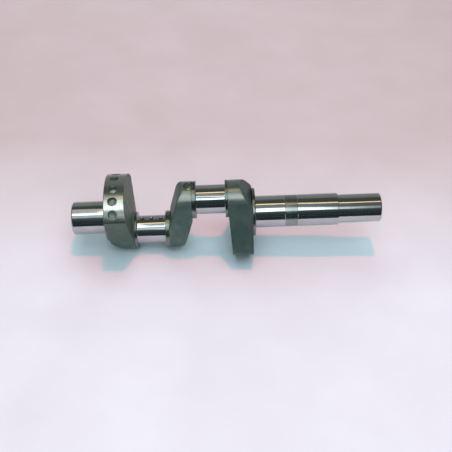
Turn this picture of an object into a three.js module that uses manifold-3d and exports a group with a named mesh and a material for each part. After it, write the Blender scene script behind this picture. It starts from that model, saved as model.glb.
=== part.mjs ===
// Two-throw crankshaft, millimetres, +Z up.
// The shaft axis is the X axis: the front journal is at -X, the drive end at +X. The origin is on the
// shaft axis at half length. Crankpin 2 is at +Z and crankpin 1 opposite it, at -Z.
// The shaft is one casting, so its nodes are the lands, collars, pins and webs of that casting,
// cut at their machined boundaries and meeting face to face. The gallery plugs are loose pieces.
import * as THREE from 'three';
import { mergeVertices } from 'three/addons/utils/BufferGeometryUtils.js';
import Module from 'manifold-3d';

const wasm = await Module();
wasm.setup();

// ---- Driving dimensions ----------------------------------------------------------------------
const THROW = 25;                    // shaft axis to crankpin axis, half the stroke

const FRONT_JOURNAL_LENGTH = 45.2;   // lengths along X, from the front end to the drive end
const THRUST_COLLAR_WIDTH = 3.6;
const END_WEB_WIDTH = 33.1;
const END_COLLAR_WIDTH = 3;          // machined collar between an end web and its pin
const PIN_LENGTH = 38.5;
const CENTRE_COLLAR_WIDTH = 5.5;     // the same between the centre web and a pin
const CENTRE_WEB_WIDTH = 32.8;
const MAIN_LAND_LENGTH = 39.8;
const RELIEF_LENGTH = 16.5;
const SEAL_LAND_LENGTH = 54.7;
const SHOULDER_WIDTH = 0.8;
const STUB_LENGTH = 57.2;

const FRONT_JOURNAL_RADIUS = 22.25;
const THRUST_COLLAR_RADIUS = 32.5;
const PIN_RADIUS = 19.5;
const NOSE_RADIUS = 25;              // web round a pin, and the collars beside the pins
const RIM_RADIUS = 58;               // counterweight rim, about the shaft axis
const RIM_HALF_ANGLE = 58;           // degrees each side of the counterweight's centre line
const MAIN_RADIUS = 21.6;
const RELIEF_RADIUS = 21.3;
const STUB_RADIUS = 19.4;

const END_CHAMFER = 1.2;               // free ends of the shaft
const COLLAR_CHAMFER = 1.2;
const CENTRE_HOLE_RADIUS = 6;        // 60 degree centre in each end face
const CENTRE_DRILL_RADIUS = 2.5;
const CENTRE_DRILL_DEPTH = 12;

const FACE_DRAFT = 0.075;            // slope of an end web's inner face, in X per unit of Z
const FACE_AT_AXIS = 30.8;           // outer face to inner face at the shaft axis
const BEVEL_SLOPE = 0.65;            // outer bevel of an end web's nose, in X per unit of Z
const BEVEL_START = 26;              // distance below the axis where that bevel starts
const COUNTERWEIGHT_SPLIT = 22;      // height where the counterweight meets the web

const BALANCE_HOLES_PER_SIDE = 3;
const BALANCE_HOLE_FIRST = 11.4;     // degrees from the counterweight's centre line
const BALANCE_HOLE_PITCH = 17.8;     // degrees
const BALANCE_HOLE_RADIUS = 5.6;
const BALANCE_HOLE_DEPTH = 8;
const BALANCE_HOLE_INSET = 11.9;     // outer face of the web to the holes' centre line

const OIL_HOLE_RADIUS = 2.2;
const OIL_HOLE_DEPTH = 9;
const OIL_HOLE_PITCH = 13;

const PLUG_BORE_RADIUS = 7;
const PLUG_BORE_DEPTH = 8;
const PLUG_GAP = 0.3;
const PLUG_THICKNESS = 6.3;
const PLUG_DISH_RADIUS = 4.6;
const PLUG_DISH_DEPTH = 1.6;

const ROUND_STEPS = 72;              // facets round the shaft
const SMALL_STEPS = 28;              // facets round a hole or a plug

// ---- Stations along the shaft ----------------------------------------------------------------
const lengths = [
  FRONT_JOURNAL_LENGTH, THRUST_COLLAR_WIDTH, END_WEB_WIDTH, END_COLLAR_WIDTH, PIN_LENGTH,
  CENTRE_COLLAR_WIDTH, CENTRE_WEB_WIDTH, CENTRE_COLLAR_WIDTH, PIN_LENGTH, END_COLLAR_WIDTH,
  END_WEB_WIDTH, THRUST_COLLAR_WIDTH, MAIN_LAND_LENGTH, RELIEF_LENGTH, SEAL_LAND_LENGTH,
  SHOULDER_WIDTH, STUB_LENGTH,
];
const total = lengths.reduce((sum, length) => sum + length, 0);
const stations = [-total / 2];
for (const length of lengths) {
  stations.push(stations[stations.length - 1] + length);
}
const [
  , frontCollarX, frontWebX, pin1FrontCollarX, pin1X, pin1RearCollarX, centreWebX,
  pin2FrontCollarX, pin2X, pin2RearCollarX, rearWebX, rearCollarX, mainLandX, reliefX, sealLandX,
  shoulderX, stubX,
] = stations;
const throwsMiddle = centreWebX + CENTRE_WEB_WIDTH / 2;

// ---- Materials -------------------------------------------------------------------------------
function steel(color, roughness, metalness) {
  return new THREE.MeshStandardMaterial({ color, roughness, metalness });
}
const groundSteel = steel(0xb9bcc0, 0.12, 1);
const turnedSteel = steel(0x8f9490, 0.35, 1);
const dullSteel = steel(0x7c8480, 0.45, 1);
const castIron = steel(0x46524e, 0.6, 0.8);
const plugSteel = steel(0x5a625e, 0.4, 1);

// ---- Solids ----------------------------------------------------------------------------------
function toManifold(geometry) {
  const bare = geometry.index ? geometry.toNonIndexed() : geometry.clone();
  bare.deleteAttribute('normal');
  bare.deleteAttribute('uv');
  const merged = mergeVertices(bare, 1e-4);
  return new wasm.Manifold(new wasm.Mesh({
    numProp: 3,
    vertProperties: new Float32Array(merged.attributes.position.array),
    triVerts: new Uint32Array(merged.index.array),
  }));
}

function toGeometry(solid) {
  const mesh = solid.getMesh();
  const geometry = new THREE.BufferGeometry();
  geometry.setAttribute('position', new THREE.BufferAttribute(new Float32Array(mesh.vertProperties), 3));
  geometry.setIndex(new THREE.BufferAttribute(new Uint32Array(mesh.triVerts), 1));
  geometry.computeVertexNormals();
  return geometry;
}

// Turned solid about the X axis. The profile is [x, radius] from one end of the axis to the other.
function turned(profile, steps = ROUND_STEPS) {
  const points = profile.map(([x, radius]) => new THREE.Vector2(radius, x));
  const geometry = new THREE.LatheGeometry(points, steps);
  geometry.rotateZ(-Math.PI / 2);
  return geometry;
}

// Outline in Y and Z, extruded from x0 to x1.
function plateX(outline, x0, x1, curveSegments) {
  const geometry = new THREE.ExtrudeGeometry(outline, {
    depth: x1 - x0,
    bevelEnabled: false,
    curveSegments,
  });
  geometry.applyMatrix4(new THREE.Matrix4().makeBasis(
    new THREE.Vector3(0, 1, 0),
    new THREE.Vector3(0, 0, 1),
    new THREE.Vector3(1, 0, 0),
  ));
  return geometry.translate(x0, 0, 0);
}

// Polygon of [x, z] points, extruded along Y on both sides of the middle plane.
function prismY(points, halfWidth) {
  const outline = new THREE.Shape(points.map(([x, z]) => new THREE.Vector2(x, z)));
  const geometry = new THREE.ExtrudeGeometry(outline, { depth: 2 * halfWidth, bevelEnabled: false });
  geometry.applyMatrix4(new THREE.Matrix4().makeBasis(
    new THREE.Vector3(1, 0, 0),
    new THREE.Vector3(0, 0, 1),
    new THREE.Vector3(0, -1, 0),
  ));
  return geometry.translate(0, halfWidth, 0);
}

// Drilled hole: a cylinder with a conical bottom, mouth at the local origin, running along local -Y.
function drill(radius, depth) {
  const overshoot = 6;
  const points = [
    new THREE.Vector2(0, -depth - radius * 0.58),
    new THREE.Vector2(radius, -depth),
    new THREE.Vector2(radius, overshoot),
    new THREE.Vector2(0, overshoot),
  ];
  return new THREE.LatheGeometry(points, SMALL_STEPS);
}

// Drill with its mouth at (x, y, z), pointing inwards from a direction given by the angle from +Z
// towards +Y.
function drillAt(radius, depth, x, centreZ, mouthRadius, angle) {
  const geometry = drill(radius, depth);
  geometry.translate(0, mouthRadius, 0);
  geometry.rotateX(Math.PI / 2 - angle);
  return toManifold(geometry.translate(x, 0, centreZ));
}

const group = new THREE.Group();

function addMesh(parent, name, geometry, material) {
  const mesh = new THREE.Mesh(geometry, material);
  mesh.name = name;
  parent.add(mesh);
  return mesh;
}

// ---- Shaft lands and collars ------------------------------------------------------------------
function land(x0, x1, radius, chamfer0 = 0, chamfer1 = 0) {
  const profile = [[x0, 0], [x0, radius - chamfer0]];
  if (chamfer0 > 0) {
    profile.push([x0 + chamfer0, radius]);
  }
  profile.push([x1 - chamfer1, radius]);
  if (chamfer1 > 0) {
    profile.push([x1, radius - chamfer1]);
  }
  profile.push([x1, 0]);
  return turned(profile);
}

// Land whose free end, towards +X, has a chamfer and a 60 degree centre hole.
function freeEnd(length, radius) {
  const coneDepth = (CENTRE_HOLE_RADIUS - CENTRE_DRILL_RADIUS) * Math.sqrt(3);
  return turned([
    [0, 0],
    [0, radius],
    [length - END_CHAMFER, radius],
    [length, radius - END_CHAMFER],
    [length, CENTRE_HOLE_RADIUS],
    [length - coneDepth, CENTRE_DRILL_RADIUS],
    [length - CENTRE_DRILL_DEPTH, CENTRE_DRILL_RADIUS],
    [length - CENTRE_DRILL_DEPTH - CENTRE_DRILL_RADIUS * 0.58, 0],
  ]);
}

const frontJournal = addMesh(
  group, 'front_journal', freeEnd(FRONT_JOURNAL_LENGTH, FRONT_JOURNAL_RADIUS), groundSteel,
);
frontJournal.rotation.z = Math.PI;
frontJournal.position.x = frontCollarX;

addMesh(
  group, 'front_thrust_collar',
  land(frontCollarX, frontWebX, THRUST_COLLAR_RADIUS, COLLAR_CHAMFER, 0), turnedSteel,
);
addMesh(
  group, 'rear_thrust_collar',
  land(rearCollarX, mainLandX, THRUST_COLLAR_RADIUS, 0, COLLAR_CHAMFER), turnedSteel,
);
addMesh(group, 'main_journal', land(mainLandX, reliefX, MAIN_RADIUS), groundSteel);
addMesh(group, 'relief_band', land(reliefX, sealLandX, RELIEF_RADIUS), dullSteel);
addMesh(group, 'seal_journal', land(sealLandX, shoulderX, MAIN_RADIUS), groundSteel);
addMesh(
  group, 'drive_shoulder',
  turned([[shoulderX, 0], [shoulderX, MAIN_RADIUS], [stubX, STUB_RADIUS], [stubX, 0]]), turnedSteel,
);
const driveStub = addMesh(group, 'drive_end_stub', freeEnd(STUB_LENGTH, STUB_RADIUS), groundSteel);
driveStub.position.x = stubX;

// ---- Crankpins and their collars ---------------------------------------------------------------
// The oil holes of a pin open on the side that faces the shaft axis.
function crankpin(name, x0, centreZ) {
  const round = land(x0, x0 + PIN_LENGTH, PIN_RADIUS).translate(0, 0, centreZ);
  let pin = toManifold(round);
  for (const side of [-1, 0, 1]) {
    const x = x0 + PIN_LENGTH / 2 + side * OIL_HOLE_PITCH;
    const angle = centreZ < 0 ? 0 : Math.PI;
    pin = pin.subtract(drillAt(OIL_HOLE_RADIUS, OIL_HOLE_DEPTH, x, centreZ, PIN_RADIUS, angle));
  }
  addMesh(group, name, toGeometry(pin), groundSteel);
}
crankpin('crankpin_1', pin1X, -THROW);
crankpin('crankpin_2', pin2X, THROW);

// The centre web's plug bore runs a little way into the collar beside it.
const centrePlugX = pin2FrontCollarX - 3.1;
const pinCollars = [
  ['pin_1_front_collar', pin1FrontCollarX, pin1X, -THROW],
  ['pin_1_rear_collar', pin1RearCollarX, centreWebX, -THROW],
  ['pin_2_front_collar', pin2FrontCollarX, pin2X, THROW],
  ['pin_2_rear_collar', pin2RearCollarX, rearWebX, THROW],
];
for (const [name, x0, x1, centreZ] of pinCollars) {
  const ring = toManifold(land(x0, x1, NOSE_RADIUS).translate(0, 0, centreZ));
  const bored = centreZ > 0 ? ring.subtract(plugBoreAt(centrePlugX, 1)) : ring;
  addMesh(group, name, toGeometry(bored), turnedSteel);
}

// ---- End webs with their counterweights --------------------------------------------------------
// Outline in Y and Z: the counterweight's rim at +Z, straight flanks, and the nose round the pin.
function endWebOutline() {
  const rim = THREE.MathUtils.degToRad(RIM_HALF_ANGLE);
  const corner = new THREE.Vector2(RIM_RADIUS * Math.sin(rim), RIM_RADIUS * Math.cos(rim));
  const fromNose = new THREE.Vector2(corner.x, corner.y + THROW);
  const touch = fromNose.angle() - Math.acos(NOSE_RADIUS / fromNose.length());
  const outline = new THREE.Shape();
  outline.absarc(0, 0, RIM_RADIUS, Math.PI / 2 - rim, Math.PI / 2 + rim, false);
  outline.absarc(0, -THROW, NOSE_RADIUS, Math.PI - touch, 2 * Math.PI + touch, false);
  outline.closePath();
  return outline;
}

// The front web, in place. The rear web is the same casting form, turned end for end.
function endWeb(parent, webName, counterweightName, balanceHoles, plugBore) {
  const outer = frontWebX;
  const inner = frontWebX + END_WEB_WIDTH;
  const reach = 1.5 * RIM_RADIUS;
  const faceAt = (z) => outer + FACE_AT_AXIS - FACE_DRAFT * z;
  const slab = toManifold(plateX(endWebOutline(), outer, inner, 20));
  const kept = toManifold(prismY([
    [outer - 5, -reach], [faceAt(-reach), -reach], [faceAt(reach), reach], [outer - 5, reach],
  ], reach));
  const boss = toManifold(
    land(outer + 5, inner, NOSE_RADIUS).translate(0, 0, -THROW),
  );
  const bevelDepth = reach - BEVEL_START;
  const bevel = toManifold(prismY([
    [outer, -BEVEL_START],
    [outer - 5, -BEVEL_START],
    [outer - 5, -reach],
    [outer + BEVEL_SLOPE * bevelDepth, -reach],
  ], reach));
  let web = slab.intersect(kept).add(boss).subtract(bevel);
  if (balanceHoles) {
    for (let i = 0; i < BALANCE_HOLES_PER_SIDE; i += 1) {
      const angle = THREE.MathUtils.degToRad(BALANCE_HOLE_FIRST + i * BALANCE_HOLE_PITCH);
      for (const turn of [-angle, angle]) {
        web = web.subtract(drillAt(
          BALANCE_HOLE_RADIUS, BALANCE_HOLE_DEPTH, outer + BALANCE_HOLE_INSET, 0, RIM_RADIUS, turn,
        ));
      }
    }
  }
  if (plugBore) {
    web = web.subtract(plugBore);
  }
  const upper = toManifold(prismY([
    [outer - 20, COUNTERWEIGHT_SPLIT],
    [inner + 20, COUNTERWEIGHT_SPLIT],
    [inner + 20, reach],
    [outer - 20, reach],
  ], reach));
  addMesh(parent, webName, toGeometry(web.subtract(upper)), castIron);
  addMesh(parent, counterweightName, toGeometry(web.intersect(upper)), castIron);
}

// Flat-bottomed bore for a gallery plug, open towards side * Z at the top of a nose.
function plugBoreAt(x, side) {
  const top = THROW + NOSE_RADIUS;
  const height = PLUG_BORE_DEPTH + 10;
  const bore = new THREE.CylinderGeometry(PLUG_BORE_RADIUS, PLUG_BORE_RADIUS, height, SMALL_STEPS);
  bore.rotateX(Math.PI / 2);
  return toManifold(bore.translate(x, 0, side * (top - PLUG_BORE_DEPTH + height / 2)));
}

// Dished steel plug, pressed in below the nose's surface.
function galleryPlug(name, x, side) {
  const radius = PLUG_BORE_RADIUS - PLUG_GAP;
  const points = [
    new THREE.Vector2(0, 0),
    new THREE.Vector2(radius, 0),
    new THREE.Vector2(radius, PLUG_THICKNESS),
    new THREE.Vector2(PLUG_DISH_RADIUS, PLUG_THICKNESS),
    new THREE.Vector2(PLUG_DISH_RADIUS * 0.7, PLUG_THICKNESS - PLUG_DISH_DEPTH),
    new THREE.Vector2(0, PLUG_THICKNESS - PLUG_DISH_DEPTH),
  ];
  const plug = addMesh(group, name, new THREE.LatheGeometry(points, SMALL_STEPS), plugSteel);
  plug.rotation.x = side * Math.PI / 2;
  plug.position.set(x, 0, side * (THROW + NOSE_RADIUS - PLUG_BORE_DEPTH + PLUG_GAP));
}

const frontPlugX = pin1FrontCollarX - 10;
endWeb(group, 'front_web', 'front_counterweight', true, plugBoreAt(frontPlugX, -1));
galleryPlug('front_web_plug', frontPlugX, -1);

const turnedEnd = new THREE.Group();
turnedEnd.rotation.y = Math.PI;
turnedEnd.position.x = 2 * throwsMiddle;
group.add(turnedEnd);
endWeb(turnedEnd, 'rear_web', 'rear_counterweight', false, null);

// ---- Centre web --------------------------------------------------------------------------------
// An obround seen along the shaft, and seen from the side an oblique slab that carries pin 2's nose
// on its rear side and pin 1's on its front side. The form is the same turned end for end.
function centreWeb() {
  const half = CENTRE_WEB_WIDTH / 2;
  const topZ = THROW + NOSE_RADIUS;
  const slopeStart = [-half, -6.3];
  const slopeEnd = [-half + 13.3, 40.5];
  const topEdge = [-half + 21, topZ + 1];
  const side = [slopeStart, slopeEnd, topEdge, [half, topZ + 1]];
  const turnedSide = side.map(([x, z]) => [-x, -z]);
  const sideOutline = [...side, ...turnedSide].map(([x, z]) => [x + throwsMiddle, z]).reverse();
  const outline = new THREE.Shape();
  outline.absarc(0, THROW, NOSE_RADIUS, 0, Math.PI, false);
  outline.absarc(0, -THROW, NOSE_RADIUS, Math.PI, 2 * Math.PI, false);
  outline.closePath();
  const slab = toManifold(plateX(outline, centreWebX, pin2FrontCollarX, 32));
  return slab.intersect(toManifold(prismY(sideOutline, 1.5 * NOSE_RADIUS)));
}

const centre = centreWeb().subtract(plugBoreAt(centrePlugX, 1));
addMesh(group, 'centre_web', toGeometry(centre), castIron);
galleryPlug('centre_web_plug', centrePlugX, 1);

export default group;
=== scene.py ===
"""Visual model of the two-throw crankshaft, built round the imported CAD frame. Units are metres."""
import math

import bpy
import numpy as np
from mathutils import Matrix, Vector, noise


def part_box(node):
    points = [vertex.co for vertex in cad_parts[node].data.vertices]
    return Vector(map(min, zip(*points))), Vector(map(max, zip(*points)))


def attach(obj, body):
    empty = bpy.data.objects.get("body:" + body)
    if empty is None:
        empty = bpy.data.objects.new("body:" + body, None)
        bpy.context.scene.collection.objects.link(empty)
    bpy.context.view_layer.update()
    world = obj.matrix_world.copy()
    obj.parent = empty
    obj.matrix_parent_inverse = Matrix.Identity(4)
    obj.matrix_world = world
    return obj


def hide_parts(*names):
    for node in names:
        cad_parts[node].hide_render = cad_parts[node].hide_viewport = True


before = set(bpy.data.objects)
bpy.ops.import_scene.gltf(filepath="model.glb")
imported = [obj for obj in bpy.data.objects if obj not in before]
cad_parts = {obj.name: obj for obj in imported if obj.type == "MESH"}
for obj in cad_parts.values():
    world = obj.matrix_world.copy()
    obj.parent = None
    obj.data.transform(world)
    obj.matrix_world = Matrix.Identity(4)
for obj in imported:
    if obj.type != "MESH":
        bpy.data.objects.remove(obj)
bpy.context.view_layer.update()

MM = 0.001

# ---- Dimensions that the frame doesn't hold as boxes ------------------------------------------
NOSE_RADIUS = 25 * MM                 # webs and collars round the pins
RIM_RADIUS = 58 * MM                  # counterweight rim, about the shaft axis
FACE_AT_AXIS = 30.8 * MM              # end web: outer face to inner face at the shaft axis
FACE_DRAFT = 0.075                    # end web: slope of the inner face, X per unit of Z
BEVEL_START = 26 * MM                 # end web: where the outer bevel starts below the axis
BEVEL_SLOPE = 0.65
RIM_HALF_ANGLE = math.radians(58)
BALANCE_ANGLES = [math.radians(side * a) for side in (-1, 1) for a in (11.4, 29.2, 47.0)]
BALANCE_RADIUS = 5.6 * MM
BALANCE_DEPTH = 8 * MM
BALANCE_INSET = 11.9 * MM
PLUG_BORE_RADIUS = 7 * MM
PLUG_BORE_DEPTH = 8 * MM
OIL_PITCH = 13 * MM
OIL_RADIUS = 2.2 * MM
OIL_DEPTH = 9 * MM
DRILL_CONE = 0.58                     # a drilled hole's conical bottom: height per radius
CENTRE_SIDE = (                       # centre web's oblique side: X from its outer face, and Z
    (0.0, -6.3 * MM), (13.3 * MM, 40.5 * MM), (21 * MM, 51 * MM),
)
CENTRE_SIDE_EASE = (2.4 * MM, 3.0 * MM)

# ---- Roundings and mesh settings ----------------------------------------------------------------
COLLAR_EDGE = 1.1 * MM                # thrust collars
FLANK_EDGE = 1.2 * MM                 # end web: flank to rim
NOSE_BLEND = 3 * MM                   # end web: inner face to nose
FACE_EDGE = 0.8 * MM                  # end web: inner face to outline
OUTER_EDGE = 1.0 * MM                 # end web: outer face to outline
BEVEL_EDGE = 2.0 * MM                 # end web: bevel to outer face
HOLE_EDGE = 0.7 * MM                  # mouths of the balance holes
BORE_EDGE = 0.8 * MM                  # mouths of the plug bores
CAST_SKIN = 0.18 * MM                 # the cast waves lie this far inside the drawn surface
CAST_WAVES = ((9 * MM, 0.16 * MM), (3.2 * MM, 0.07 * MM))    # wavelength and height
MASK_FADE = 0.35 * MM                 # machined marks fade out over this distance from the surface
NOSE_CUT_START = 8 * MM               # height above crankpin 2 where the noses start to be machined
NOSE_CUT_FADE = 7 * MM
VOXEL = 0.55 * MM
ROUND_STEPS = 192
SMALL_STEPS = 96                      # steps round a plug and its bore
SHARP_DEGREES = 32                    # edges sharper than this are shaded as corners
CAST_SHARP_DEGREES = 50


def span(node):
    """Lowest and highest X of a CAD node."""
    low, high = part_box(node)
    return low[0], high[0]


def radius_of(node):
    """Half the Z extent of a round CAD node."""
    low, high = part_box(node)
    return (high[2] - low[2]) / 2


def middle_z(node):
    """Height of a round CAD node's axis."""
    low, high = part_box(node)
    return (high[2] + low[2]) / 2


PIN_1_Z = middle_z("crankpin_1")
PIN_2_Z = middle_z("crankpin_2")
FRONT_OUTER = span("front_web")[0]
FRONT_INNER = span("front_web")[1]
CENTRE_X = sum(span("centre_web")) / 2
CENTRE_HALF = (span("centre_web")[1] - span("centre_web")[0]) / 2
END_WEB_WIDTH = FRONT_INNER - FRONT_OUTER
FRONT_PLUG_X = sum(span("front_web_plug")) / 2 - FRONT_OUTER
CENTRE_PLUG_X = sum(span("centre_web_plug")) / 2 - CENTRE_X


# ---- Camera ------------------------------------------------------------------------------------
CAMERA_DISTANCE = 0.976
CAMERA_ELEVATION = math.radians(42)
CAMERA_ROLL = math.radians(2.1)
CAMERA_LENS = 57.3
AIM_BELOW_AXIS = 18.0 * MM
AIM_X = -1 * MM


def add_camera():
    toward = Vector((0, -math.cos(CAMERA_ELEVATION), math.sin(CAMERA_ELEVATION)))
    plain_up = Vector((0, math.sin(CAMERA_ELEVATION), math.cos(CAMERA_ELEVATION)))
    plain_right = Vector((1, 0, 0))
    right = plain_right * math.cos(CAMERA_ROLL) - plain_up * math.sin(CAMERA_ROLL)
    up = plain_right * math.sin(CAMERA_ROLL) + plain_up * math.cos(CAMERA_ROLL)
    aim = plain_right * AIM_X - up * AIM_BELOW_AXIS
    place = aim + toward * CAMERA_DISTANCE
    data = bpy.data.cameras.new("camera")
    data.lens = CAMERA_LENS
    data.sensor_width = 36
    data.clip_start = 0.05
    data.clip_end = 60
    camera = bpy.data.objects.new("camera", data)
    turn = Matrix((right, up, toward)).transposed().to_4x4()
    camera.matrix_world = Matrix.Translation(place) @ turn
    bpy.context.scene.collection.objects.link(camera)
    bpy.context.scene.camera = camera


add_camera()


# ---- Material helpers ---------------------------------------------------------------------------
class Nodes:
    """A material's node tree with short ways to add and join nodes."""

    def __init__(self, name):
        self.material = bpy.data.materials.new(name)
        self.material.use_nodes = True
        self.tree = self.material.node_tree
        self.shader = self.tree.nodes["Principled BSDF"]
        self.coords = self.tree.nodes.new("ShaderNodeTexCoord").outputs["Object"]

    def add(self, kind, **values):
        node = self.tree.nodes.new(kind)
        for key, value in values.items():
            if hasattr(node, key):
                setattr(node, key, value)
            else:
                node.inputs[key.replace("_", " ")].default_value = value
        return node

    def join(self, output, target):
        self.tree.links.new(output, target)

    def scaled(self, scale):
        node = self.tree.nodes.new("ShaderNodeMapping")
        node.inputs["Scale"].default_value = scale
        self.join(self.coords, node.inputs["Vector"])
        return node.outputs["Vector"]

    def noise(self, scale, detail=3.0, roughness=0.55, stretch=None):
        node = self.tree.nodes.new("ShaderNodeTexNoise")
        node.inputs["Scale"].default_value = scale
        node.inputs["Detail"].default_value = detail
        node.inputs["Roughness"].default_value = roughness
        self.join(self.scaled(stretch) if stretch else self.coords, node.inputs["Vector"])
        return node.outputs["Fac"]

    def fit(self, value, low, high, to_low, to_high):
        node = self.tree.nodes.new("ShaderNodeMapRange")
        node.inputs["From Min"].default_value = low
        node.inputs["From Max"].default_value = high
        node.inputs["To Min"].default_value = to_low
        node.inputs["To Max"].default_value = to_high
        self.join(value, node.inputs["Value"])
        return node.outputs["Result"]

    def math(self, operation, first, second):
        node = self.tree.nodes.new("ShaderNodeMath")
        node.operation = operation
        for socket, value in zip(node.inputs, (first, second)):
            if isinstance(value, (int, float)):
                socket.default_value = value
            else:
                self.join(value, socket)
        return node.outputs["Value"]

    def mix_color(self, factor, first, second):
        node = self.tree.nodes.new("ShaderNodeMix")
        node.data_type = "RGBA"
        self.join(factor, node.inputs["Factor"])
        for socket, value in ((node.inputs[6], first), (node.inputs[7], second)):
            if isinstance(value, tuple):
                socket.default_value = (*value, 1.0)
            else:
                self.join(value, socket)
        return node.outputs[2]

    def mix_value(self, factor, first, second):
        node = self.tree.nodes.new("ShaderNodeMix")
        node.data_type = "FLOAT"
        self.join(factor, node.inputs["Factor"])
        for socket, value in ((node.inputs[2], first), (node.inputs[3], second)):
            if isinstance(value, (int, float)):
                socket.default_value = value
            else:
                self.join(value, socket)
        return node.outputs[0]

    def bump(self, height, strength, distance, normal=None):
        node = self.tree.nodes.new("ShaderNodeBump")
        node.inputs["Strength"].default_value = strength
        node.inputs["Distance"].default_value = distance
        self.join(height, node.inputs["Height"])
        if normal is not None:
            self.join(normal, node.inputs["Normal"])
        return node.outputs["Normal"]


def ring_metal(name, dark, light, roughness, ring_strength=0.02):
    """Metal worked round the shaft: fine rings, roughness that varies, and faint oil stains."""
    ring_depth = 0.01 * MM
    n = Nodes(name)
    rings = n.noise(1.0, 2.0, 0.6, (2600, 24, 24))
    coarse = n.noise(1.0, 1.0, 0.5, (420, 9, 9))
    stains = n.noise(38, 4.0, 0.6)
    n.join(n.mix_color(n.fit(stains, 0.35, 0.68, 0, 1), dark, light), n.shader.inputs["Base Color"])
    varied = n.math("ADD", n.math("MULTIPLY", rings, 0.5), n.math("MULTIPLY", stains, 0.5))
    n.join(n.fit(varied, 0.3, 0.7, *roughness), n.shader.inputs["Roughness"])
    n.shader.inputs["Metallic"].default_value = 1.0
    first = n.bump(rings, ring_strength, ring_depth)
    n.join(n.bump(coarse, ring_strength * 0.6, ring_depth * 2, first), n.shader.inputs["Normal"])
    return n.material


def cast_metal(name, cast_dark, cast_light, cut_dark, cut_light, cut_roughness):
    """As-cast iron, with machined surfaces blended in where the mesh marks them, and a painted pale
    highlight inside the drilled holes, weaker on their walls.
    """
    n = Nodes(name)
    mask = n.add("ShaderNodeAttribute", attribute_name="machined").outputs["Fac"]
    drilled = n.add("ShaderNodeAttribute", attribute_name="drilled").outputs["Fac"]
    grain = n.noise(900, 5.0, 0.65)
    lumps = n.noise(170, 4.0, 0.6)
    blotches = n.noise(46, 3.0, 0.55)
    cast_color = n.mix_color(n.fit(blotches, 0.36, 0.66, 0, 1), cast_dark, cast_light)
    cast_color = n.mix_color(n.fit(grain, 0.5, 0.8, 0, 0.35), cast_color, (0.20, 0.24, 0.21))
    pointy = n.add("ShaderNodeNewGeometry").outputs["Pointiness"]
    worn = n.math("MULTIPLY", n.fit(pointy, 0.53, 0.60, 0, 0.4), n.fit(lumps, 0.35, 0.6, 0.4, 1))
    cast_color = n.mix_color(worn, cast_color, (0.30, 0.34, 0.31))
    stains = n.noise(60, 3.0, 0.6)
    cut_color = n.mix_color(n.fit(stains, 0.35, 0.65, 0, 1), cut_dark, cut_light)
    color = n.mix_color(mask, cast_color, cut_color)
    # Inside the drilled holes the colour turns pale golden grey: a painted highlight on the hole
    # bottoms, while the walls stay darker as painted shade. The metal there is also less metallic.
    n.join(n.mix_color(drilled, color, (0.46, 0.45, 0.37)), n.shader.inputs["Base Color"])
    cast_rough = n.fit(lumps, 0.3, 0.7, 0.40, 0.62)
    cut_rough = n.fit(stains, 0.3, 0.7, *cut_roughness)
    n.join(n.mix_value(mask, cast_rough, cut_rough), n.shader.inputs["Roughness"])
    cut_metal = n.mix_value(mask, 0.55, 0.95)
    n.join(n.mix_value(drilled, cut_metal, 0.35), n.shader.inputs["Metallic"])
    unmasked = n.math("SUBTRACT", 1.0, mask)
    height = n.math("MULTIPLY", n.math("ADD", grain, n.math("MULTIPLY", lumps, 1.6)), unmasked)
    n.join(n.bump(height, 0.5, 0.16 * MM), n.shader.inputs["Normal"])
    return n.material


GROUND = ring_metal("ground_steel", (0.46, 0.49, 0.50), (0.55, 0.58, 0.59), (0.05, 0.09))
TURNED = ring_metal("turned_steel", (0.18, 0.22, 0.20), (0.27, 0.31, 0.28), (0.23, 0.31))
DULL = ring_metal("dull_band", (0.26, 0.32, 0.31), (0.36, 0.42, 0.41), (0.20, 0.27))
PLUG = ring_metal("gallery_plug", (0.34, 0.38, 0.35), (0.46, 0.50, 0.46), (0.24, 0.34), 0.04)

NOSE_CUT = ((0.25, 0.30, 0.27), (0.33, 0.37, 0.33), (0.27, 0.34))
RIM_CUT = ((0.30, 0.34, 0.32), (0.37, 0.41, 0.38), (0.15, 0.20))
CAST = cast_metal("cast_web", (0.080, 0.135, 0.115), (0.130, 0.190, 0.150), *NOSE_CUT)
# The rear web gets a darker copy of the same cast iron: painted shade.
SHADED_REAR_CAST = cast_metal("cast_web_rear_painted_shade", (0.062, 0.108, 0.098), (0.098, 0.148, 0.128), *NOSE_CUT)
RIM_CAST = cast_metal("cast_web_rim", (0.095, 0.145, 0.115), (0.145, 0.195, 0.148), *RIM_CUT)


# ---- Mesh helpers --------------------------------------------------------------------------------
def add_piece(name, vertices, faces, material, nodes, sharp_degrees=SHARP_DEGREES):
    mesh = bpy.data.meshes.new(name)
    mesh.from_pydata([tuple(v) for v in vertices], [], [tuple(f) for f in faces])
    mesh.validate()
    mesh.materials.append(material)
    piece = bpy.data.objects.new(name, mesh)
    bpy.context.scene.collection.objects.link(piece)
    finish_piece(piece, sharp_degrees)
    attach(piece, "root")
    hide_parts(*nodes)
    return piece


def finish_piece(piece, sharp_degrees):
    for polygon in piece.data.polygons:
        polygon.use_smooth = True
    piece.data.set_sharp_from_angle(angle=math.radians(sharp_degrees))


def lathe_mesh(profile, axis_z=0.0, steps=ROUND_STEPS):
    """Turned form about a line along X. The profile is (x, radius), its ends on the axis."""
    inner = [p for p in profile if p[1] > 0]
    vertices = [(profile[0][0], 0.0, axis_z)]
    for x, radius in inner:
        for i in range(steps):
            turn = 2 * math.pi * i / steps
            vertices.append((x, radius * math.cos(turn), axis_z + radius * math.sin(turn)))
    vertices.append((profile[-1][0], 0.0, axis_z))
    last = len(vertices) - 1
    faces = []
    for i in range(steps):
        j = (i + 1) % steps
        faces.append((0, 1 + j, 1 + i))
        base = 1 + (len(inner) - 1) * steps
        faces.append((last, base + i, base + j))
        for k in range(len(inner) - 1):
            a = 1 + k * steps
            faces.append((a + i, a + j, a + steps + j, a + steps + i))
    return vertices, faces


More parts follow.
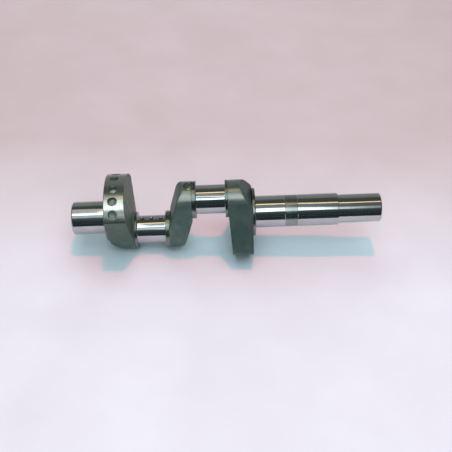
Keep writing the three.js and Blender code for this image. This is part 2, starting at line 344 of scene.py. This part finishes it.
def supported(profile):
    """Adds points near the ends of long straight runs, so that shading stays even along them."""
    reach = 0.5 * MM
    points = [profile[0]]
    for (x0, r0), (x1, r1) in zip(profile, profile[1:]):
        length = math.hypot(x1 - x0, r1 - r0)
        if length > 4 * reach and min(r0, r1) > 0:
            for share in (reach / length, 1 - reach / length):
                points.append((x0 + (x1 - x0) * share, r0 + (r1 - r0) * share))
        points.append((x1, r1))
    return points


def arc(centre_x, centre_r, radius, start, end, count=6):
    """Points of an arc in (x, radius), with angles in degrees from +X towards greater radius."""
    points = []
    for i in range(count + 1):
        turn = math.radians(start + (end - start) * i / count)
        points.append((centre_x + radius * math.cos(turn), centre_r + radius * math.sin(turn)))
    return points


def cut(piece, cutters):
    """Cuts closed (vertices, faces) forms out of a piece."""
    for index, (vertices, faces) in enumerate(cutters):
        mesh = bpy.data.meshes.new(f"cutter_{index}")
        mesh.from_pydata([tuple(v) for v in vertices], [], faces)
        tool = bpy.data.objects.new(f"cutter_{index}", mesh)
        bpy.context.scene.collection.objects.link(tool)
        modifier = piece.modifiers.new("cut", "BOOLEAN")
        modifier.operation = "DIFFERENCE"
        modifier.solver = "EXACT"
        modifier.object = tool
        bpy.context.view_layer.objects.active = piece
        with bpy.context.temp_override(object=piece, active_object=piece):
            bpy.ops.object.modifier_apply(modifier=modifier.name)
        bpy.data.objects.remove(tool)
        bpy.data.meshes.remove(mesh)
    finish_piece(piece, SHARP_DEGREES)


def turned_piece(name, profile, material, nodes, axis_z=0.0):
    vertices, faces = lathe_mesh(supported(profile), axis_z)
    return add_piece(name, vertices, faces, material, nodes)


# ---- Shaft lands, collars and pins ---------------------------------------------------------------
EDGE = 0.35 * MM                      # broken edge of a machined step
FILLET = 0.5 * MM                     # fillet at the ends of a journal
CENTRE_HOLE = 6 * MM
CENTRE_DRILL = 2.5 * MM
CENTRE_DEPTH = 12 * MM


def free_end_profile(inner_x, tip_x, radius, chamfer):
    """Profile of a shaft end with a rounded chamfer and a 60 degree centre hole in its face."""
    way = 1 if tip_x > inner_x else -1
    cone = (CENTRE_HOLE - CENTRE_DRILL) * math.sqrt(3)
    step = 0.4 * MM
    outline = [
        (inner_x, 0.0),
        (inner_x, radius),
        (tip_x - way * (chamfer + step), radius),
        (tip_x - way * chamfer, radius - 0.1 * MM),
        (tip_x - way * step, radius - chamfer + 0.35 * MM),
        (tip_x, radius - chamfer - 0.15 * MM),
        (tip_x, CENTRE_HOLE + 0.3 * MM),
        (tip_x - way * 0.3 * MM, CENTRE_HOLE),
        (tip_x - way * cone, CENTRE_DRILL),
        (tip_x - way * CENTRE_DEPTH, CENTRE_DRILL),
        (tip_x - way * (CENTRE_DEPTH + CENTRE_DRILL * DRILL_CONE), 0.0),
    ]
    return outline if way > 0 else outline[::-1]


def build_shaft_ends():
    front_low, front_high = span("front_journal")
    turned_piece(
        "front_journal_ground",
        free_end_profile(front_high + 1 * MM, front_low, radius_of("front_journal"), 1.4 * MM),
        GROUND, ["front_journal"],
    )
    stub_low, stub_high = span("drive_end_stub")
    turned_piece(
        "drive_stub_ground",
        free_end_profile(stub_low - 1 * MM, stub_high, radius_of("drive_end_stub"), 1.2 * MM),
        GROUND, ["drive_end_stub"],
    )


def collar_profile(x0, x1, radius, edge):
    """Disc whose two rims are rounded with the given edge radius."""
    left = arc(x0 + edge, radius - edge, edge, 180, 90)
    right = arc(x1 - edge, radius - edge, edge, 90, 0)
    return [(x0, 0.0), *left, *right, (x1, 0.0)]


def build_collars():
    front_low, front_high = span("front_thrust_collar")
    radius = radius_of("front_thrust_collar")
    inset = 0.8 * MM
    turned_piece(
        "front_thrust_collar_turned",
        collar_profile(front_low, front_high + inset, radius, COLLAR_EDGE),
        TURNED, ["front_thrust_collar"],
    )
    rear_low, rear_high = span("rear_thrust_collar")
    turned_piece(
        "rear_thrust_collar_turned",
        collar_profile(rear_low - inset, rear_high, radius, COLLAR_EDGE),
        TURNED, ["rear_thrust_collar"],
    )
    for node, axis_z, web_side in (
        ("pin_1_front_collar", PIN_1_Z, -1),
        ("pin_1_rear_collar", PIN_1_Z, 1),
        ("pin_2_front_collar", PIN_2_Z, -1),
        ("pin_2_rear_collar", PIN_2_Z, 1),
    ):
        low, high = span(node)
        profile = pin_collar_profile(low, high, web_side)
        collar = turned_piece(f"{node}_turned", profile, TURNED, [node], axis_z)
        if node == "pin_2_front_collar":
            bore = drilled_hole(
                CENTRE_X + CENTRE_PLUG_X, axis_z, NOSE_RADIUS, 1, PLUG_BORE_RADIUS, PLUG_BORE_DEPTH,
                cone=0, mouth=1.1, steps=SMALL_STEPS,
            )
            cut(collar, [bore])


def pin_collar_profile(low, high, web_side):
    """Collar beside a pin: broken edge on the pin's side, and a hidden spigot into the web."""
    spigot = NOSE_RADIUS - 0.7 * MM
    seam = 0.12 * MM
    if web_side > 0:
        pin_edge = arc(low + EDGE, NOSE_RADIUS - EDGE, EDGE, 180, 90)
        return [
            (low, 0.0), *pin_edge, (high - seam, NOSE_RADIUS), (high, NOSE_RADIUS - seam),
            (high, spigot), (high + 1 * MM, spigot), (high + 1 * MM, 0.0),
        ]
    pin_edge = arc(high - EDGE, NOSE_RADIUS - EDGE, EDGE, 90, 0)
    return [
        (low - 1 * MM, 0.0), (low - 1 * MM, spigot), (low, spigot), (low, NOSE_RADIUS - seam),
        (low + seam, NOSE_RADIUS), *pin_edge, (high, 0.0),
    ]


def drilled_hole(x, axis_z, surface, towards, radius, depth, cone=DRILL_CONE, mouth=1.75, steps=40):
    """Closed cutter for a hole that enters a round surface, with a countersunk mouth."""
    rise = DRILL_CONE * (mouth - 1) * radius
    clear = 4 * MM
    profile = [
        (-depth - radius * cone, 0.0),
        (-depth, radius),
        (-0.6 * rise, radius),
        (0.4 * rise, radius * mouth),
        (clear, radius * mouth),
        (clear, 0.0),
    ]
    vertices, faces = lathe_mesh(profile, 0.0, steps)
    placed = []
    for along, side, across in vertices:
        z = axis_z + towards * (surface + along)
        placed.append((x + towards * side, across, z))
    return placed, faces


def build_pins():
    for node, axis_z, towards in (("crankpin_1", PIN_1_Z, 1), ("crankpin_2", PIN_2_Z, -1)):
        low, high = span(node)
        radius = radius_of(node)
        left = arc(low + FILLET, radius + FILLET, FILLET, 180, 270)
        right = arc(high - FILLET, radius + FILLET, FILLET, 270, 360)
        profile = [(low - 1 * MM, 0.0), (low - 1 * MM, radius + FILLET), *left]
        profile += [*right, (high + 1 * MM, radius + FILLET), (high + 1 * MM, 0.0)]
        pin = turned_piece(f"{node}_ground", profile, GROUND, [node], axis_z)
        middle = (low + high) / 2
        cut(pin, [
            drilled_hole(middle + side * OIL_PITCH, axis_z, radius, towards, OIL_RADIUS, OIL_DEPTH)
            for side in (-1, 0, 1)
        ])


def build_main_shaft():
    main_low, main_high = span("main_journal")
    relief_low, relief_high = span("relief_band")
    seal_low, seal_high = span("seal_journal")
    main = radius_of("main_journal")
    relief = radius_of("relief_band")
    root = arc(main_low + FILLET, main + FILLET, FILLET, 180, 270)
    turned_piece(
        "main_journal_ground",
        [(main_low - 1 * MM, 0.0), (main_low - 1 * MM, main + FILLET), *root,
         (main_high - EDGE, main), (main_high, relief), (main_high, 0.0)],
        GROUND, ["main_journal"],
    )
    turned_piece(
        "relief_band_turned",
        [(relief_low - 0.2 * MM, 0.0), (relief_low - 0.2 * MM, relief),
         (relief_high + 0.2 * MM, relief), (relief_high + 0.2 * MM, 0.0)],
        DULL, ["relief_band"],
    )
    turned_piece(
        "seal_journal_ground",
        [(seal_low, 0.0), (seal_low, relief), (seal_low + EDGE, main),
         (seal_high - EDGE, main), (seal_high, main - 0.15 * MM), (seal_high, 0.0)],
        GROUND, ["seal_journal"],
    )
    step_low, step_high = span("drive_shoulder")
    stub = radius_of("drive_end_stub")
    groove = arc(step_high - 0.2 * MM, stub + 0.1 * MM, 0.5 * MM, 200, 340)
    turned_piece(
        "drive_shoulder_turned",
        [(step_low - 0.2 * MM, 0.0), (step_low - 0.2 * MM, main - 0.15 * MM),
         (step_low + 0.1 * MM, main - 0.2 * MM), (step_high - 0.6 * MM, stub + 0.5 * MM),
         *groove, (step_high + 0.3 * MM, 0.0)],
        TURNED, ["drive_shoulder"],
    )


# ---- Cast webs, from distance fields ---------------------------------------------------------------
def soft_min(a, b, width):
    blend = np.maximum(width - np.abs(a - b), 0) / width
    return np.minimum(a, b) - blend * blend * width / 4


def soft_max(a, b, width):
    return -soft_min(-a, -b, width)


def surface_net(field, low, high, step):
    """Closed quad mesh of a distance field's zero level inside a box."""
    low = np.array(low, dtype=float)
    counts = np.ceil((np.array(high) - low) / step).astype(int) + 1
    axes = [low[i] + step * np.arange(counts[i]) for i in range(3)]
    values = field(*np.meshgrid(*axes, indexing="ij"))
    inside = values < 0
    corners = np.zeros(tuple(counts - 1), dtype=np.int8)
    for a in (0, 1):
        for b in (0, 1):
            for c in (0, 1):
                corners += inside[
                    a:counts[0] - 1 + a, b:counts[1] - 1 + b, c:counts[2] - 1 + c
                ]
    active = (corners > 0) & (corners < 8)
    cells = np.argwhere(active)
    index = np.full(active.shape, -1)
    index[active] = np.arange(len(cells))
    total = np.zeros((len(cells), 3))
    hits = np.zeros(len(cells))
    for axis in range(3):
        for a in (0, 1):
            for b in (0, 1):
                start = cells.copy()
                start[:, (axis + 1) % 3] += a
                start[:, (axis + 2) % 3] += b
                end = start.copy()
                end[:, axis] += 1
                value_0 = values[tuple(start.T)]
                value_1 = values[tuple(end.T)]
                crossed = (value_0 < 0) != (value_1 < 0)
                point = start.astype(float)
                gap = np.where(crossed, value_0 - value_1, 1)
                point[:, axis] += value_0 / gap
                total[crossed] += point[crossed]
                hits[crossed] += 1
    vertices = low + step * total / hits[:, None]
    faces = []
    for axis in range(3):
        side_b = (axis + 1) % 3
        side_c = (axis + 2) % 3
        first = np.moveaxis(inside, axis, 0)[:-1]
        second = np.moveaxis(inside, axis, 0)[1:]
        changed = np.argwhere(np.moveaxis(first != second, 0, axis))
        back_b = np.zeros(3, dtype=int)
        back_b[side_b] = 1
        back_c = np.zeros(3, dtype=int)
        back_c[side_c] = 1
        quad = [
            index[tuple((changed - back_b - back_c).T)],
            index[tuple((changed - back_c).T)],
            index[tuple(changed.T)],
            index[tuple((changed - back_b).T)],
        ]
        outward = inside[tuple(changed.T)]
        quads = np.stack(quad, axis=1)
        quads[~outward] = quads[~outward][:, ::-1]
        faces.append(quads)
    return vertices, np.concatenate(faces)


def field_slope(field, points):
    """Gradient of a distance field at each point."""
    reach = 0.02 * MM
    value = field(*points.T)
    return np.stack([
        (field(*(points + reach * np.eye(3)[axis]).T) - value) / reach for axis in range(3)
    ], axis=1)


def onto_surface(field, vertices):
    """Moves vertices onto the field's zero level along its gradient."""
    points = vertices.copy()
    for _ in range(3):
        value = field(*points.T)
        slope = field_slope(field, points)
        size = np.maximum((slope * slope).sum(axis=1), 0.2)
        move = np.clip(value / size, -VOXEL, VOXEL)
        points -= 0.9 * move[:, None] * slope
    return points


def end_outline(y, z):
    """Signed distance in the Y-Z plane to an end web: rim, straight flanks and nose."""
    corner = np.array([RIM_RADIUS * math.sin(RIM_HALF_ANGLE), RIM_RADIUS * math.cos(RIM_HALF_ANGLE)])
    from_nose = corner - np.array([0.0, PIN_1_Z])
    length = np.hypot(*from_nose)
    touch = math.atan2(from_nose[1], from_nose[0]) - math.acos(NOSE_RADIUS / length)
    across = np.abs(y)
    up = z - PIN_1_Z
    flank = across * math.cos(touch) + up * math.sin(touch) - NOSE_RADIUS
    along = -across * math.sin(touch) + up * math.cos(touch)
    nose = np.hypot(across, up) - NOSE_RADIUS
    rim = np.hypot(y, z) - RIM_RADIUS
    return soft_max(rim, np.where(along > 0, flank, nose), FLANK_EDGE)


def drilled(radial, depth_left, radius):
    """Distance to a drilled hole with a conical bottom: radial distance and height above the bottom."""
    cone = (-depth_left - DRILL_CONE * (radius - radial)) / math.hypot(1, DRILL_CONE)
    return np.maximum(radial - radius, cone)


def balance_holes(x, y, z):
    """Distances to the holes drilled in the front rim, x measured from the web's outer face."""
    distances = []
    for turn in BALANCE_ANGLES:
        outward = y * math.sin(turn) + z * math.cos(turn)
        sideways = y * math.cos(turn) - z * math.sin(turn)
        radial = np.hypot(x - BALANCE_INSET, sideways)
        hole = drilled(radial, outward - (RIM_RADIUS - BALANCE_DEPTH), BALANCE_RADIUS)
        distances.append(hole)
    return distances


def end_web_field(x, y, z, balance):
    """The front web's form. x is measured from its outer face towards the pin."""
    tilt = math.hypot(1, FACE_DRAFT)
    inner = (x - (FACE_AT_AXIS - FACE_DRAFT * z)) / tilt
    bevel_tilt = math.hypot(1, BEVEL_SLOPE)
    bevel = (BEVEL_SLOPE * (-BEVEL_START - z) - x) / bevel_tilt
    outline = end_outline(y, z)
    nose = np.hypot(y, z - PIN_1_Z) - NOSE_RADIUS
    eased = nose - NOSE_BLEND * np.clip((PIN_1_Z - z) / (8 * MM), 0, 1)
    face = np.maximum(soft_min(inner, eased, NOSE_BLEND), x - END_WEB_WIDTH)
    body = soft_max(outline, face, FACE_EDGE)
    body = soft_max(body, -x, OUTER_EDGE)
    body = soft_max(body, bevel, BEVEL_EDGE)
    if balance:
        for hole in balance_holes(x, y, z):
            body = soft_max(body, -hole, HOLE_EDGE)
        bore = np.maximum(
            np.hypot(x - FRONT_PLUG_X, y) - PLUG_BORE_RADIUS,
            z - (PIN_1_Z - NOSE_RADIUS + PLUG_BORE_DEPTH),
        )
        body = soft_max(body, -bore, BORE_EDGE)
    return body


def centre_field(x, y, z):
    """The oblique centre web. x is measured from its middle; the form is point-symmetric."""
    within = np.clip(z, PIN_1_Z, PIN_2_Z)
    body = np.hypot(y, z - within) - NOSE_RADIUS
    side = [(start - CENTRE_HALF, z_at) for start, z_at in CENTRE_SIDE]
    for way in (1, -1):
        for (x0, z0), (x1, z1), width in zip(side, side[1:], CENTRE_SIDE_EASE):
            length = math.hypot(x1 - x0, z1 - z0)
            flat = ((z1 - z0) * (x0 - way * x) + (x1 - x0) * (way * z - z0)) / length
            body = soft_max(body, flat, width)
        body = soft_max(body, -CENTRE_HALF - way * x, 0.4 * MM)
    bore = np.maximum(
        np.hypot(x - CENTRE_PLUG_X, y) - PLUG_BORE_RADIUS,
        (PIN_2_Z + NOSE_RADIUS - PLUG_BORE_DEPTH) - z,
    )
    return soft_max(body, -bore, BORE_EDGE)


def rough_cast(vertices, faces, mask):
    """Low casting waves, pushed in and out along the normals where the surface is not machined."""
    mesh = bpy.data.meshes.new("normals")
    mesh.from_pydata(vertices.tolist(), [], faces.tolist())
    normals = np.array([tuple(v.normal) for v in mesh.vertices])
    bpy.data.meshes.remove(mesh)
    heights = np.zeros(len(vertices))
    for size, amount in CAST_WAVES:
        heights += amount * np.array([noise.noise(Vector(v) / size) for v in vertices])
    return vertices + normals * ((heights - CAST_SKIN) * (1 - mask))[:, None]


def cast_piece(name, field, low, high, machined, painted_hole_light, material, nodes):
    """Meshes a web and marks its machined surfaces, and the insides of its drilled holes with the
    weight of their painted highlight.
    """
    vertices, faces = surface_net(field, low, high, VOXEL)
    vertices = onto_surface(field, vertices)
    mask = machined(*vertices.T)
    holes = painted_hole_light(*vertices.T)
    straight = field_slope(field, vertices)
    straight /= np.linalg.norm(straight, axis=1)[:, None]
    vertices = rough_cast(vertices, faces, np.maximum(mask, np.ceil(holes)))
    piece = add_piece(name, vertices, faces.tolist(), material, nodes, CAST_SHARP_DEGREES)
    own = np.array([tuple(v.normal) for v in piece.data.vertices])
    smooth = own + mask[:, None] * (straight - own)
    piece.data.normals_split_custom_set_from_vertices(smooth.tolist())
    # The "drilled" attribute holds the weight of the painted highlight inside the holes.
    for title, values in (("machined", mask), ("drilled", holes)):
        attribute = piece.data.attributes.new(title, "FLOAT", "POINT")
        attribute.data.foreach_set("value", values.astype(np.float32))
    return piece


def near(distance):
    """1 on a surface, falling to 0 a little way off it."""
    return np.clip(1.6 - np.abs(distance) / MASK_FADE, 0, 1)


def balance_hole_painted_light(x, y, z):
    """Weight of the painted highlight inside the balance holes: little on the walls, which stay darker
    as painted shade, rising to 1 on the conical bottoms.
    """
    radial = np.hypot(y, z)
    within = np.min(balance_holes(x - FRONT_OUTER, y, z), axis=0) < 0.3 * MM
    depth = np.clip((RIM_RADIUS - 6 * MM - radial) / (2 * MM), 0.1, 1)
    return depth * within * (radial < RIM_RADIUS - HOLE_EDGE)


def nose_mask(x, y, z):
    """The machined upper part of the noses round crankpin 2, fading out downwards."""
    above = np.clip((z - PIN_2_Z - NOSE_CUT_START) / NOSE_CUT_FADE, 0, 1)
    return near(np.hypot(y, z - PIN_2_Z) - NOSE_RADIUS) * above


def no_mask(x, _y, _z):
    return np.zeros_like(x)


def build_webs():
    margin = 3 * MM
    reach = RIM_RADIUS + margin
    nose_low = PIN_1_Z - NOSE_RADIUS - margin
    cast_piece(
        "front_web_casting",
        lambda x, y, z: end_web_field(x - FRONT_OUTER, y, z, True),
        (FRONT_OUTER - margin, -reach, nose_low),
        (FRONT_INNER + margin, reach, reach),
        lambda x, y, z: near(np.hypot(y, z) - RIM_RADIUS),
        balance_hole_painted_light,
        RIM_CAST, ["front_web", "front_counterweight"],
    )
    rear_inner, rear_outer = span("rear_web")
    cast_piece(
        "rear_web_casting",
        lambda x, y, z: end_web_field(rear_outer - x, y, -z, False),
        (rear_inner - margin, -reach, -reach),
        (rear_outer + margin, reach, -nose_low),
        nose_mask, no_mask,
        SHADED_REAR_CAST, ["rear_web", "rear_counterweight"],
    )
    side = NOSE_RADIUS + margin
    top = PIN_2_Z + side
    cast_piece(
        "centre_web_casting",
        lambda x, y, z: centre_field(x - CENTRE_X, y, z),
        (CENTRE_X - CENTRE_HALF - margin, -side, -top),
        (CENTRE_X + CENTRE_HALF + margin, side, top),
        nose_mask, no_mask,
        CAST, ["centre_web"],
    )


def build_plugs():
    """Dished steel plugs with a raised rim inside a groove, pressed in a little below the noses."""
    for node, way in (("front_web_plug", -1), ("centre_web_plug", 1)):
        low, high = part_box(node)
        x = (low[0] + high[0]) / 2
        base = low[2] if way > 0 else -high[2]
        top = high[2] if way > 0 else -low[2]
        radius = PLUG_BORE_RADIUS + 0.05 * MM
        profile = [
            (base, 0.0), (base, radius), (top - 2.4 * MM, radius), (top - 2.4 * MM, 6.3 * MM),
            (top - 0.6 * MM, 6.2 * MM), (top, 5.6 * MM), (top, 4.9 * MM),
            (top - 0.5 * MM, 4.5 * MM), (top - 2.8 * MM, 3.9 * MM), (top - 3.2 * MM, 0.0),
        ]
        vertices, faces = lathe_mesh(profile, 0.0, SMALL_STEPS)
        placed = [(x + way * side, across, way * along) for along, side, across in vertices]
        add_piece(f"{node}_pressed", placed, faces, PLUG, [node])


build_shaft_ends()
build_collars()
build_pins()
build_main_shaft()
build_webs()
build_plugs()


# ---- Floor, lights and reflections -----------------------------------------------------------------
def emission(name, color, strength, glow=False):
    """Light-giving card. With glow, its strength follows the mesh attribute of that name."""
    material = bpy.data.materials.new(name)
    material.use_nodes = True
    tree = material.node_tree
    tree.nodes.clear()
    out = tree.nodes.new("ShaderNodeOutputMaterial")
    light = tree.nodes.new("ShaderNodeEmission")
    light.inputs["Color"].default_value = (*color, 1.0)
    light.inputs["Strength"].default_value = strength
    tree.links.new(light.outputs[0], out.inputs[0])
    if glow:
        share = tree.nodes.new("ShaderNodeAttribute")
        share.attribute_name = "glow"
        product = tree.nodes.new("ShaderNodeMath")
        product.operation = "MULTIPLY"
        product.inputs[1].default_value = strength
        tree.links.new(share.outputs["Fac"], product.inputs[0])
        tree.links.new(product.outputs[0], light.inputs["Strength"])
    return material


def stage_mesh(name, vertices, faces, material):
    mesh = bpy.data.meshes.new(name)
    mesh.from_pydata(vertices, [], faces)
    mesh.materials.append(material)
    piece = bpy.data.objects.new(name, mesh)
    bpy.context.scene.collection.objects.link(piece)
    return piece


def reflection_only(piece):
    """A studio card that only shows in reflections."""
    piece.visible_camera = False
    piece.visible_diffuse = False
    piece.visible_shadow = False
    piece.visible_transmission = False
    piece.visible_volume_scatter = False


def direction_strip(name, color, strength, radius, stops):
    """A reflected card on a cylinder of the given radius about the shaft's axis.

    Each stop is (x, low, high, glow): two angles in degrees above the front horizon, and the share
    of the strength.
    """
    vertices = []
    faces = []
    glows = []
    rows = 8
    for x, low, high, glow in stops:
        for k in range(rows + 1):
            turn = math.radians(low + (high - low) * k / rows)
            vertices.append((x, -radius * math.cos(turn), radius * math.sin(turn)))
            glows.append(glow)
    for i in range(len(stops) - 1):
        for k in range(rows):
            a = i * (rows + 1) + k
            faces.append((a, a + 1, a + rows + 2, a + rows + 1))
    card = stage_mesh(name, vertices, faces, emission(name, color, strength, True))
    attribute = card.data.attributes.new("glow", "FLOAT", "POINT")
    attribute.data.foreach_set("value", glows)
    reflection_only(card)


def floor_corners(half_width, near_y, far_y, rise):
    """Corners of a rectangle a given height above the floor that the shaft lies on.

    The shaft rests on the inner corner of the rear counterweight's rim and on the front web's nose,
    which is nearer to the shaft's axis, so the floor rises towards the front end.
    """
    rim_x = span("rear_web")[0]
    rim_z = -RIM_RADIUS
    nose_z = PIN_1_Z - NOSE_RADIUS
    nose_x = FRONT_OUTER + BEVEL_SLOPE * (-BEVEL_START - nose_z)
    slope = (rim_z - nose_z) / (rim_x - nose_x)
    gap = 0.05 * MM
    level = rim_z - slope * rim_x + rise - gap
    return [
        (x, y, level + slope * x)
        for x, y in (
            (-half_width, near_y), (half_width, near_y), (half_width, far_y), (-half_width, far_y),
        )
    ]


def build_stage():
    n = Nodes("floor")
    parts = n.add("ShaderNodeSeparateXYZ")
    n.join(n.coords, parts.inputs[0])
    # The floor's colour turns darker and warmer towards the back: a painted light falloff under the
    # cloth pattern.
    depth = n.fit(parts.outputs["Y"], -0.1, 0.25, 0, 1)
    cloth = n.noise(9, 3.0, 0.5)
    darker_cloth_painted_falloff = n.mix_color(depth, (0.80, 0.78, 0.79), (0.60, 0.51, 0.49))
    lighter_cloth_painted_falloff = n.mix_color(depth, (0.85, 0.84, 0.85), (0.64, 0.55, 0.53))
    n.join(
        n.mix_color(n.fit(cloth, 0.3, 0.7, 0, 1), darker_cloth_painted_falloff, lighter_cloth_painted_falloff), n.shader.inputs["Base Color"],
    )
    n.shader.inputs["Roughness"].default_value = 0.9
    n.shader.inputs["Specular IOR Level"].default_value = 0.1
    stage_mesh("floor", floor_corners(12, -12, 12, 0), [(0, 1, 2, 3)], n.material)
    dark = stage_mesh(
        "dark_card", floor_corners(3, -5, -0.15, 0.4 * MM), [(0, 1, 2, 3)],
        emission("dark_card", (0.10, 0.13, 0.14), 0.32),
    )
    reflection_only(dark)
    direction_strip(
        "upper_window", (0.96, 0.99, 1.0), 3.0, 3.0,
        [(-1.7, 61, 74, 1), (-0.8, 58, 71, 1), (-0.69, 58, 71, 1), (-0.65, 58, 86, 1.4),
         (-0.5, 58, 86, 1.4), (-0.45, 58, 70, 1), (-0.42, 58, 69, 1), (-0.2, 59, 66, 0.5),
         (0.1, 53, 63, 0.6), (0.3, 51, 62, 1), (0.45, 51, 60, 0.6), (0.6, 50, 55, 0.2)],
    )
    direction_strip(
        "lower_window", (0.90, 0.98, 1.0), 3.0, 2.95,
        [(-0.7, 50, 56, 0.25), (-0.3, 35, 50, 0.4), (-0.08, 35, 48, 1), (0.24, 38, 54, 1),
         (0.5, 39, 53, 1), (0.62, 37, 53, 0.4), (0.8, 37, 53, 0.17), (1.5, 37, 53, 0.12)],
    )
    direction_strip(
        "ceiling_card", (0.92, 1.0, 1.0), 1.0, 3.2,
        [(-1.7, 38, 104, 0.8), (-0.7, 40, 103, 0.7), (-0.35, 37, 86, 0.55), (0.0, 46, 83, 0.35),
         (0.5, 45, 84, 0.32), (0.75, 45, 84, 0.18), (1.5, 45, 84, 0.13)],
    )
    direction_strip(
        "warm_card", (1.0, 0.74, 0.42), 2.1, 2.9,
        [(-1.7, 85, 92, 0.3), (-0.7, 87, 94, 0.35), (-0.64, 87, 95, 0.9), (-0.4, 88, 95, 1),
         (0.3, 88, 96, 1), (0.5, 84, 91, 1), (1.6, 84, 91, 0.8)],
    )


def add_area(name, place, size, power, color):
    """Round lamp aimed at the origin. It doesn't show in reflections, which are left to the cards."""
    data = bpy.data.lights.new(name, "AREA")
    data.shape = "DISK"
    data.size = size
    data.energy = power
    data.color = color
    light = bpy.data.objects.new(name, data)
    light.location = place
    light.rotation_euler = (-Vector(place)).to_track_quat("-Z", "Y").to_euler()
    light.visible_glossy = False
    bpy.context.scene.collection.objects.link(light)


def build_lights():
    """A small red key from above and cool fills, which add up to white outside the shadows."""
    red = (1.0, 0.14, 0.10)
    cool = (0.60, 0.87, 1.0)
    add_area("key", (0.4, 0.25, 4.0), 0.3, 56, red)
    add_area("front_fill", (0.1, -1.1, 1.3), 1.8, 15, cool)
    add_area("back_fill", (-0.1, 1.2, 1.3), 1.8, 14, cool)
    add_area("soft_overhead", (0.4, -0.2, 2.2), 2.8, 28, cool)


# Room colours round the shaft's axis: the share of the half turn from the front horizon, over the
# top, to the back horizon.
ROOM_STOPS = (
    (0.0, (0.036, 0.046, 0.050)),
    (0.10, (0.045, 0.060, 0.064)),
    (0.16, (0.075, 0.105, 0.11)),
    (0.20, (0.12, 0.155, 0.165)),
    (0.40, (0.15, 0.19, 0.19)),
    (0.47, (0.16, 0.14, 0.11)),
    (0.57, (0.10, 0.085, 0.07)),
    (0.70, (0.09, 0.11, 0.09)),
    (0.76, (0.25, 0.27, 0.26)),
    (1.0, (0.36, 0.36, 0.36)),
)


def build_room():
    world = bpy.data.worlds.new("studio")
    world.use_nodes = True
    tree = world.node_tree
    background = tree.nodes["Background"]
    coords = tree.nodes.new("ShaderNodeTexCoord")
    parts = tree.nodes.new("ShaderNodeSeparateXYZ")
    tree.links.new(coords.outputs["Generated"], parts.inputs[0])
    flip = tree.nodes.new("ShaderNodeMath")
    flip.operation = "MULTIPLY"
    flip.inputs[1].default_value = -1
    tree.links.new(parts.outputs["Y"], flip.inputs[0])
    turn = tree.nodes.new("ShaderNodeMath")
    turn.operation = "ARCTAN2"
    tree.links.new(parts.outputs["Z"], turn.inputs[0])
    tree.links.new(flip.outputs[0], turn.inputs[1])
    share = tree.nodes.new("ShaderNodeMath")
    share.operation = "DIVIDE"
    share.inputs[1].default_value = math.pi
    tree.links.new(turn.outputs[0], share.inputs[0])
    ramp = tree.nodes.new("ShaderNodeValToRGB")
    tree.links.new(share.outputs[0], ramp.inputs[0])
    elements = ramp.color_ramp.elements
    while len(elements) > 1:
        elements.remove(elements[-1])
    elements[0].position = ROOM_STOPS[0][0]
    elements[0].color = (*ROOM_STOPS[0][1], 1)
    for position, color in ROOM_STOPS[1:]:
        element = elements.new(position)
        element.color = (*color, 1)
    tree.links.new(ramp.outputs[0], background.inputs["Color"])
    background.inputs["Strength"].default_value = 1.0
    bpy.context.scene.world = world
    bpy.context.scene.view_settings.view_transform = "Standard"


build_stage()
build_lights()
build_room()
